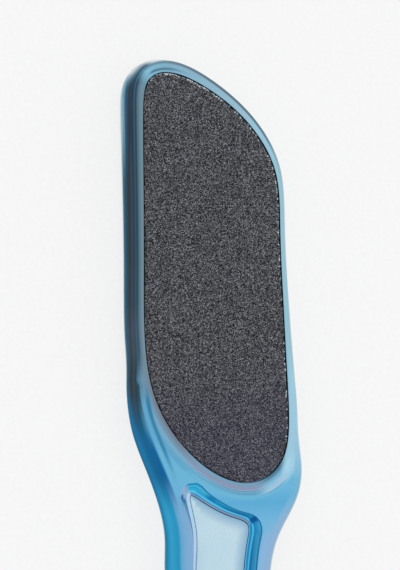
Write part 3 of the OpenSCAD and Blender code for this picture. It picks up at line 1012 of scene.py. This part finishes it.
def silvered_inlay():
    """Moulded ABS plate, metallised in pale silver blue with a satin coat."""
    material, tree, at = new_material("metallised_abs_silver_blue", "border")

    # Its tone clouds over about 17 mm
    cloud = put(tree, "TexNoise", {"Vector": at.place}, Scale=60.0).outputs["Fac"]
    # The edge's painted shade runs along the top and the right
    colour = layered("#BAD6E4", (cloud, 0.3, 0.7, "#C3DAE6"), (at.border, "#84AECA"))

    # The satin coat's grain is drawn at 0.4 mm, coarser than it is, so that it shows
    grain = put(tree, "TexNoise", {"Vector": at.place}, Scale=2500.0).outputs["Fac"]
    bump = put(tree, "Bump", {"Height": grain}, Strength=0.1, Distance=0.00002)
    inputs = {
        "Base Color": colour, "Normal": bump.outputs["Normal"],
        "Roughness": ranged(grain, 0.3, 0.7, 0.26, 0.34),
    }
    return surfaced(material, inputs, Metallic=0.8, Coat_Weight=0.3, Coat_Roughness=0.1)


def bonded_grit(name, grain_mm, dark, middle, bright):
    """Silicon carbide grains set in resin on a backing sheet: painted shade in the pits and on the
    edge, painted glints along the edge, and single facets that glint. The grains are drawn wider
    than real ones, which are 0.1 to 0.2 mm in a coarse grit and less in a fine one, so that they
    show."""
    material, tree, at = new_material(name, "grain_height", "chip")
    grains = put(tree, "TexVoronoi", {"Vector": at.place}, Scale=1 / (grain_mm * MM))
    split = put(tree, "SeparateXYZ", {"Vector": grains.outputs["Color"]})
    facets = ramp(split.outputs["X"], {0.3: dark, 0.42: middle, 0.76: middle, 0.88: bright})

    # The colour turns faintly violet toward the neck
    y = put(tree, "SeparateXYZ", {"Vector": at.place}).outputs["Y"]
    # Low grains and the edge take painted shade, and painted glints lie along the edge
    colour = layered(
        facets, (at.grain_height, 0.02, 0.3, 0.45, 0.0, dark), (y, 0.05, 0.025, 0.0, 0.3, "#37334F"),
        (at.chip, "#E4F1F6"),
    )
    bump = put(tree, "Bump", {"Height": grains.outputs["Distance"]}, Strength=0.6, Distance=0.0001)
    inputs = {
        "Base Color": colour, "Normal": bump.outputs["Normal"],
        "Roughness": ranged(split.outputs["Y"], 0.0, 1.0, 0.35, 0.8),
        "Specular IOR Level": ranged(split.outputs["X"], 0.3, 0.9, 0.08, 0.5),
    }
    return surfaced(material, inputs, IOR=1.6)


def resin_backing():
    """Resin-bound paper sheet, nearly black. Its fibres are drawn 0.3 mm wide, so that they show."""
    material, tree, at = new_material("resin_bound_backing_paper")
    fibre = put(tree, "TexNoise", {"Vector": at.place}, Scale=3000.0, Detail=4.0).outputs["Fac"]
    colour = layered("#1B1B20", (fibre, 0.35, 0.65, "#34343A"))
    bump = put(tree, "Bump", {"Height": fibre}, Strength=0.4, Distance=0.00005)
    inputs = {"Base Color": colour, "Normal": bump.outputs["Normal"]}
    return surfaced(material, inputs, Roughness=0.8)


def adhesive_film():
    """Acrylic pressure-sensitive film, milky, cloudy over about 1 mm, and slightly glossy."""
    material, tree, at = new_material("acrylic_adhesive_film")
    cloud = put(tree, "TexNoise", {"Vector": at.place}, Scale=900.0).outputs["Fac"]
    colour = layered("#D2CCB8", (cloud, 0.3, 0.7, "#DEDACB"))
    return surfaced(material, {"Base Color": colour}, Roughness=0.35)


# Grains are spaced evenly, wider than real ones so that they show, then scattered, and kept
# clear of the coat's edge, by shares of a step. The edge spreads, is torn, and droops.
GRAIN_STEP = 0.26
GRAIN_SCATTER = 0.3
GRAIN_CLEAR = 0.7
EDGE_SPREAD = 0.05
EDGE_TEAR = 0.12
TEAR_LIMITS = (-0.3, 0.1)
EDGE_DROOP = 0.08

# Low grains outnumber high ones by this power, and this share of them lies below the resin
GRAIN_POWER = 1.4
GRAIN_SUNK = 0.45

# Painted glints along the cut edge of the sheet, mostly where it faces the light beyond the tip
GLINT_SIDE = (0.25, 0.97)
GLINT_BAND = 0.35
GLINT_SHARES = ((-0.1, 0.25, 0.85, 1.0), (0.0, 0.1, 0.12, 0.5))


def grit_coat(name, thick, lift, rear, seed):
    """A grit coat: single grains that stand up from the resin, and a slightly torn edge."""
    rng = np.random.default_rng(seed)
    depth = SEAT_D - ADHESIVE_T - BACKING_T - thick
    edge = respaced(pad_loop, GRAIN_STEP)
    torn = rng.normal(0, 1, len(edge))
    torn = (np.roll(torn, 1) + torn + np.roll(torn, -1)) / 3
    edge = grow(edge, EDGE_SPREAD + np.clip(EDGE_TEAR * torn, *TEAR_LIMITS))
    near = respaced(edge, FACE_STEP)
    plan = staggered(edge.min(0), edge.max(0), GRAIN_STEP)
    plan = plan + rng.uniform(-GRAIN_SCATTER, GRAIN_SCATTER, plan.shape) * GRAIN_STEP
    plan = plan[inside_by(plan, near) > GRAIN_STEP * GRAIN_CLEAR]
    found, faces, origin = filled([edge], points=plan)
    n = len(edge)
    grain = rng.uniform(0, 1, len(found)) ** GRAIN_POWER
    on_edge = [0 <= o < n for o in origin]
    up = np.where(on_edge, -EDGE_DROOP, (grain - GRAIN_SUNK) * lift)
    top = on_head_face(found, depth)
    top[:, 2] += up
    under = on_head_face(edge, depth + thick)
    ring = {o: i for i, o in enumerate(origin) if 0 <= o < n}
    start = len(found)
    tris = [tuple(f) for f in faces]
    skirt = [(start + i, start + (i + 1) % n, ring[(i + 1) % n], ring[i]) for i in range(n)]
    _, sole, sole_origin = filled([edge])
    tris += [tuple(start + sole_origin[i] for i in reversed(f)) for f in sole]
    # Painted glints along the edge, on the side that faces the light
    facing = (outward_near(found, near) * GLINT_SIDE).sum(1)
    glinting = rng.uniform(0, 1, len(found)) < np.interp(facing, *GLINT_SHARES)
    chip = np.where(glinting & (inside_by(found, near) < GLINT_BAND), 1.0, 0.0)
    tones = {
        "grain_height": np.concatenate([grain, np.zeros(n)]),
        "chip": np.concatenate([chip, np.zeros(n)]),
    }
    return new_piece(name, np.vstack([top, under]), skirt + tris, tones, smooth=False, rear=rear)


# Rings inside the inlay's edge, and how soon the painted shade on its edge comes in as it turns up
# or to the right
INLAY_RINGS = (0.8, 1.6, 2.4, 3.4)
EDGE_SHADE_GAIN = 1.6


def inlay_plate(name, rear):
    """The inlay: a flat plate with a rounded upper edge."""
    loop = respaced(grow(inlay_loop, -FIT_GAP / 2), FACE_STEP)
    n = len(loop)
    top = LEDGE_Z
    turns = np.linspace(0, math.pi / 2, INLAY_EDGE_STEPS + 1)
    insets = (0, *over_edge(INLAY_EDGE_R, INLAY_EDGE_STEPS), INLAY_EDGE_R + SUPPORT)
    heights = (POCKET_Z + INLAY_FILM_T, *(top - INLAY_EDGE_R * (1 - np.sin(turns))), top)
    rings = [np.column_stack([grow(loop, -by), np.full(n, z)]) for by, z in zip(insets, heights)]
    inner = np.vstack([grow(loop, -by) for by in INLAY_RINGS])
    inner = inner[inside_by(inner, loop) > INLAY_RINGS[0] - SUPPORT]
    plan, cap, origin = filled([rings[-1][:, :2]], points=inner)
    number, extra = joined(origin, n, n * (len(rings) - 1))
    faces = ring_quads(n, len(rings)) + [tuple(number[f]) for f in cap]
    _, sole, origin = filled([rings[0]])
    faces += [tuple(origin[i] for i in reversed(f)) for f in sole]

    # Painted shade along the top and the right edge
    points = np.vstack([*rings, np.column_stack([plan[extra], np.full(len(extra), top)])])
    facing = np.clip(outward_near(points, loop).max(1) * EDGE_SHADE_GAIN, 0, 1)
    border = facing * np.clip(1 - inside_by(points[:, :2], loop) / INLAY_RINGS[-1], 0, 1)
    return new_piece(name, points, faces, {"border": border}, rear=rear)


def finished(piece, look, slot, *nodes):
    """Gives a piece its material, and lets it stand for its CAD nodes, which it hides. The slot is
    not used.
    """
    piece.data.materials.append(look)
    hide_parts(*nodes)


shape, faces, tones = housing_shape()
front_tones = {**tones, "side": (1 + tones["rise"]) / 2}
rear_tones = {**tones, "side": (1 - tones["rise"]) / 2}

plated = plated_abs(front_tones)
silvered = silvered_inlay()
coarse_look = bonded_grit("silicon_carbide_grit_coarse", 0.2, "#0E0F12", "#48494F", "#898A90")
fine_look = bonded_grit("silicon_carbide_grit_fine", 0.18, "#131418", "#4A4A50", "#7C7C82")
backing_look = resin_backing()
film_look = adhesive_film()

front_housing = new_piece("front_housing", shape, faces, front_tones)
finished(front_housing, plated, "plated_housing", "front_shell")
rear_housing = new_piece("rear_housing", shape, faces, rear_tones, rear=True)
finished(rear_housing, plated, "plated_housing", "rear_shell")
coarse_grit = grit_coat("coarse_grit", COARSE_GRIT_T, lift=0.17, rear=False, seed=11)
finished(coarse_grit, coarse_look, "coarse_grit", "coarse_grit_coat")
fine_grit = grit_coat("fine_grit", FINE_GRIT_T, lift=0.14, rear=True, seed=12)
finished(fine_grit, fine_look, "fine_grit", "fine_grit_coat")
finished(inlay_plate("front_inlay_plate", False), silvered, "inlay_plate", "front_inlay")
finished(inlay_plate("rear_inlay_plate", True), silvered, "inlay_plate", "rear_inlay")

# The backings and films are the solids themselves, in their real materials
CAD_LOOKS = {
    backing_look: ("coarse_backing", "fine_backing"),
    film_look: ("coarse_adhesive", "fine_adhesive", "front_inlay_film", "rear_inlay_film"),
}
for look, nodes in CAD_LOOKS.items():
    for node in nodes:
        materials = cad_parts[node].data.materials
        materials.clear()
        materials.append(look)


# The floor's half width and its depth below the part, in metres, and how much of it glows
FLOOR_HALF = 2.5
FLOOR_BELOW = 0.0002
GLOW_SHARE = 0.8


def studio_floor():
    """Plain pale floor under the part."""
    corners = [(x * FLOOR_HALF, y * FLOOR_HALF, 0) for x, y in ((-1, -1), (1, -1), (1, 1), (-1, 1))]
    mesh = bpy.data.meshes.new("studio_floor")
    mesh.from_pydata(corners, [], [(0, 1, 2, 3)])
    floor = in_scene("studio_floor", mesh)
    floor.location.z = -FLOOR_BELOW
    material, tree, at = new_material("matt_studio_paper")

    # The paper's tooth is about 1.2 mm wide
    tooth = put(tree, "TexNoise", {"Vector": at.place}, Scale=800.0).outputs["Fac"]
    colour = layered("#F7F7F7", (tooth, 0.3, 0.7, "#F9F9F9"))
    paper = put(tree, "BsdfPrincipled", {"Base Color": colour}, Roughness=0.9)

    # Seen directly or in a gloss, the paper is lit through from below, which softens shadows
    glow = put(tree, "Emission", {"Color": colour}, Strength=1.0)
    rays = put(tree, "LightPath").outputs
    seen = rays["Is Camera Ray"]
    for ray in (rays["Is Glossy Ray"], rays["Is Transmission Ray"]):
        seen = put(tree, "Math", {0: seen, 1: ray}, operation="MAXIMUM").outputs[0]
    share = product(seen, GLOW_SHARE)
    parts = {"Fac": share, 1: paper.outputs["BSDF"], 2: glow.outputs["Emission"]}
    lit = put(tree, "MixShader", parts)
    put(tree, "OutputMaterial", {"Surface": lit.outputs["Shader"]})
    mesh.materials.append(material)


def softbox(name, place, aim, size, power):
    """A square softbox, in metres and watts."""
    light = bpy.data.lights.new(name, "AREA")
    light.shape = "RECTANGLE"
    light.size, light.size_y = size
    light.energy = power
    lamp = in_scene(name, light)
    lamp.location = place
    lamp.rotation_euler = (Vector(aim) - Vector(place)).to_track_quat("-Z", "Y").to_euler()


def studio_light():
    """Even pale surroundings, brighter overhead, and two large softboxes."""
    world = bpy.data.worlds.new("studio")
    bpy.context.scene.world = world
    world.use_nodes = True
    tree = world.node_tree
    tree.nodes.clear()
    coords = put(tree, "TexCoord")
    split = put(tree, "SeparateXYZ", {"Vector": coords.outputs["Generated"]})
    sky = ramp(split.outputs["Z"], {0.0: "#F2F3F4", 0.4: "#F5F6F7", 0.9: "#F9FAFB"})
    back = put(tree, "Background", {"Color": sky}, Strength=1.0)
    put(tree, "OutputWorld", {"Surface": back.outputs["Background"]})
    softbox("softbox_overhead", (0.36, 0.06, 0.8), (0.02, 0.06, 0), (0.62, 0.9), 0.12)
    softbox("card_right", (0.8, 0.1, 0.25), (0, 0, 0), (0.8, 0.4), 0.1)


# The camera stands a little to the left of straight above, 620 mm away
CAMERA_ASIDE = math.radians(21.143)
CAMERA_RISE = math.radians(-5.73)
CAMERA_ROLL = math.radians(2.377)
CAMERA_AIM = Vector((-2.613, 66.378, 6.0)) * MM
CAMERA_FAR = 620.0 * MM
PIXELS_PER_MM = 3.693
PHOTO_TALL = 570


def photo_camera():
    back = Vector((
        -math.sin(CAMERA_ASIDE) * math.cos(CAMERA_RISE),
        math.sin(CAMERA_RISE),
        math.cos(CAMERA_ASIDE) * math.cos(CAMERA_RISE),
    ))
    data = bpy.data.cameras.new("photo_camera")
    data.sensor_fit = "AUTO"
    data.sensor_width = 36.0
    data.lens = data.sensor_width * PIXELS_PER_MM / MM * CAMERA_FAR / PHOTO_TALL
    data.clip_start, data.clip_end = 0.01, 20.0
    camera = in_scene("photo_camera", data)
    up = Vector((0, 1, 0)) - back * back.y
    up.normalize()
    right = up.cross(back)
    up = up * math.cos(CAMERA_ROLL) + right * math.sin(CAMERA_ROLL)
    right = up.cross(back)
    turn = Matrix((right, up, back)).transposed()
    camera.matrix_world = Matrix.LocRotScale(CAMERA_AIM + back * CAMERA_FAR, turn, None)
    bpy.context.scene.camera = camera


studio_floor()
studio_light()
photo_camera()
bpy.context.scene.view_settings.view_transform = "Standard"
